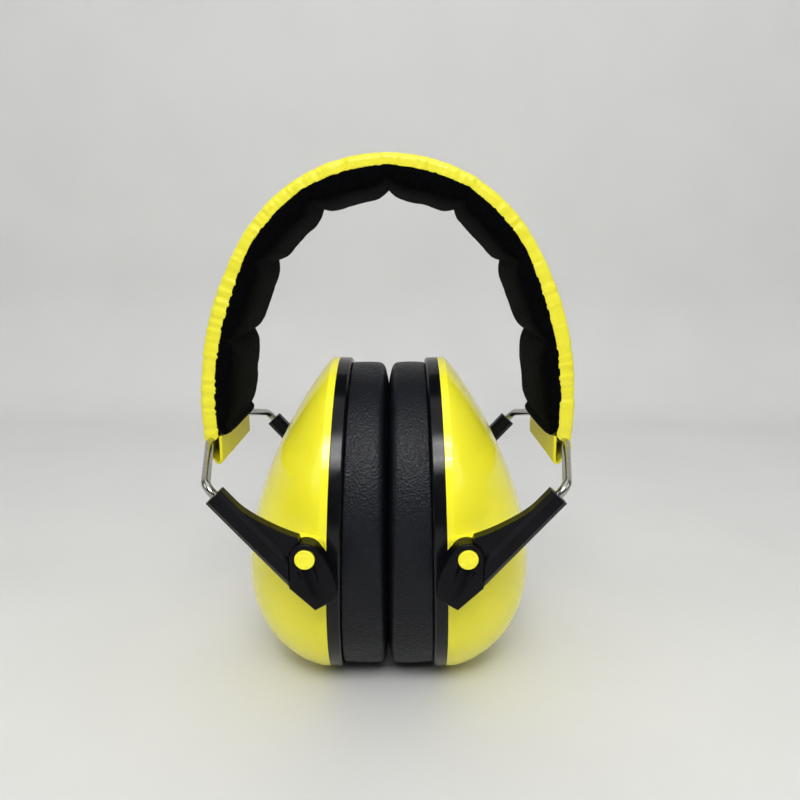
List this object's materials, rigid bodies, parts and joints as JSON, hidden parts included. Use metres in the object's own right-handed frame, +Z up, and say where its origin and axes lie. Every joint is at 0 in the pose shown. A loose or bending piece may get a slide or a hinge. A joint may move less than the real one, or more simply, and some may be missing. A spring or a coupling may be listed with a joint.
{
  "type": "earmuff hearing protector",
  "caption": "Earmuff hearing protector: padded sprung headband, bent wire yokes, sliding arms and domed oval ear cups with soft cushions.",
  "frame": {"origin": "on the surface the cups stand on, under the middle of the object", "axes": "+Z up to the crown, +X along the wearer's left-right line, -Y the front"},
  "size_m": [0.101, 0.0918, 0.1473],
  "materials": {
    "yellow_cover": "satin coated fabric",
    "black_fleece": "brushed fleece",
    "soft_foam": "open cell foam",
    "spring_steel": "satin",
    "steel_wire": "polished wire",
    "black_arm": "satin moulded",
    "yellow_shell": "gloss",
    "yellow_pin": "fine textured",
    "black_gloss": "gloss",
    "black_leather": "grained leatherette"
  },
  "bodies": {
    "headband": {"band_cover": "yellow_cover", "band_liner": "black_fleece", "band_foam": "soft_foam", "spring_band": "spring_steel"},
    "left_yoke": {"left_wire_yoke": "steel_wire"},
    "left_arms": {"left_front_arm": "black_arm", "left_rear_arm": "black_arm", "left_front_arm_cap": "black_arm", "left_rear_arm_cap": "black_arm"},
    "left_cup": {"left_cup_shell": "yellow_shell", "left_cup_rim": "black_gloss", "left_cushion_plate": "black_gloss", "left_cushion_cover": "black_leather", "left_cushion_foam": "soft_foam", "left_cup_foam": "soft_foam", "left_front_pivot_pin": "yellow_pin", "left_rear_pivot_pin": "yellow_pin"},
    "right_yoke": {"right_wire_yoke": "steel_wire"},
    "right_arms": {"right_front_arm": "black_arm", "right_rear_arm": "black_arm", "right_front_arm_cap": "black_arm", "right_rear_arm_cap": "black_arm"},
    "right_cup": {"right_cup_shell": "yellow_shell", "right_cup_rim": "black_gloss", "right_cushion_plate": "black_gloss", "right_cushion_cover": "black_leather", "right_cushion_foam": "soft_foam", "right_cup_foam": "soft_foam", "right_front_pivot_pin": "yellow_pin", "right_rear_pivot_pin": "yellow_pin"}
  },
  "joints": [
    {"name": "left_yoke_swing", "type": "hinge", "parent": "headband", "child": "left_yoke", "pos_m": [-0.0476, 0, 0.07205], "axis": [0, 1, 0], "range_deg": [0, 30], "deforming": ["left_cushion_cover", "right_cushion_cover", "left_cushion_foam", "right_cushion_foam"]},
    {"name": "left_arm_slide", "type": "slide", "parent": "left_yoke", "child": "left_arms", "axis": [0.6756, 0, -0.7373], "range_m": [0, 0.012]},
    {"name": "left_cup_tilt", "type": "hinge", "parent": "left_arms", "child": "left_cup", "pos_m": [-0.0197, 0, 0.04945], "axis": [0, -1, 0], "range_deg": [-8, 8]},
    {"name": "right_yoke_swing", "type": "hinge", "parent": "headband", "child": "right_yoke", "pos_m": [0.0476, 0, 0.07205], "axis": [0, -1, 0], "range_deg": [0, 30]},
    {"name": "right_arm_slide", "type": "slide", "parent": "right_yoke", "child": "right_arms", "axis": [-0.6756, 0, -0.7373], "range_m": [0, 0.012]},
    {"name": "right_cup_tilt", "type": "hinge", "parent": "right_arms", "child": "right_cup", "pos_m": [0.0197, 0, 0.04945], "axis": [0, 1, 0], "range_deg": [-8, 8]}
  ]
}
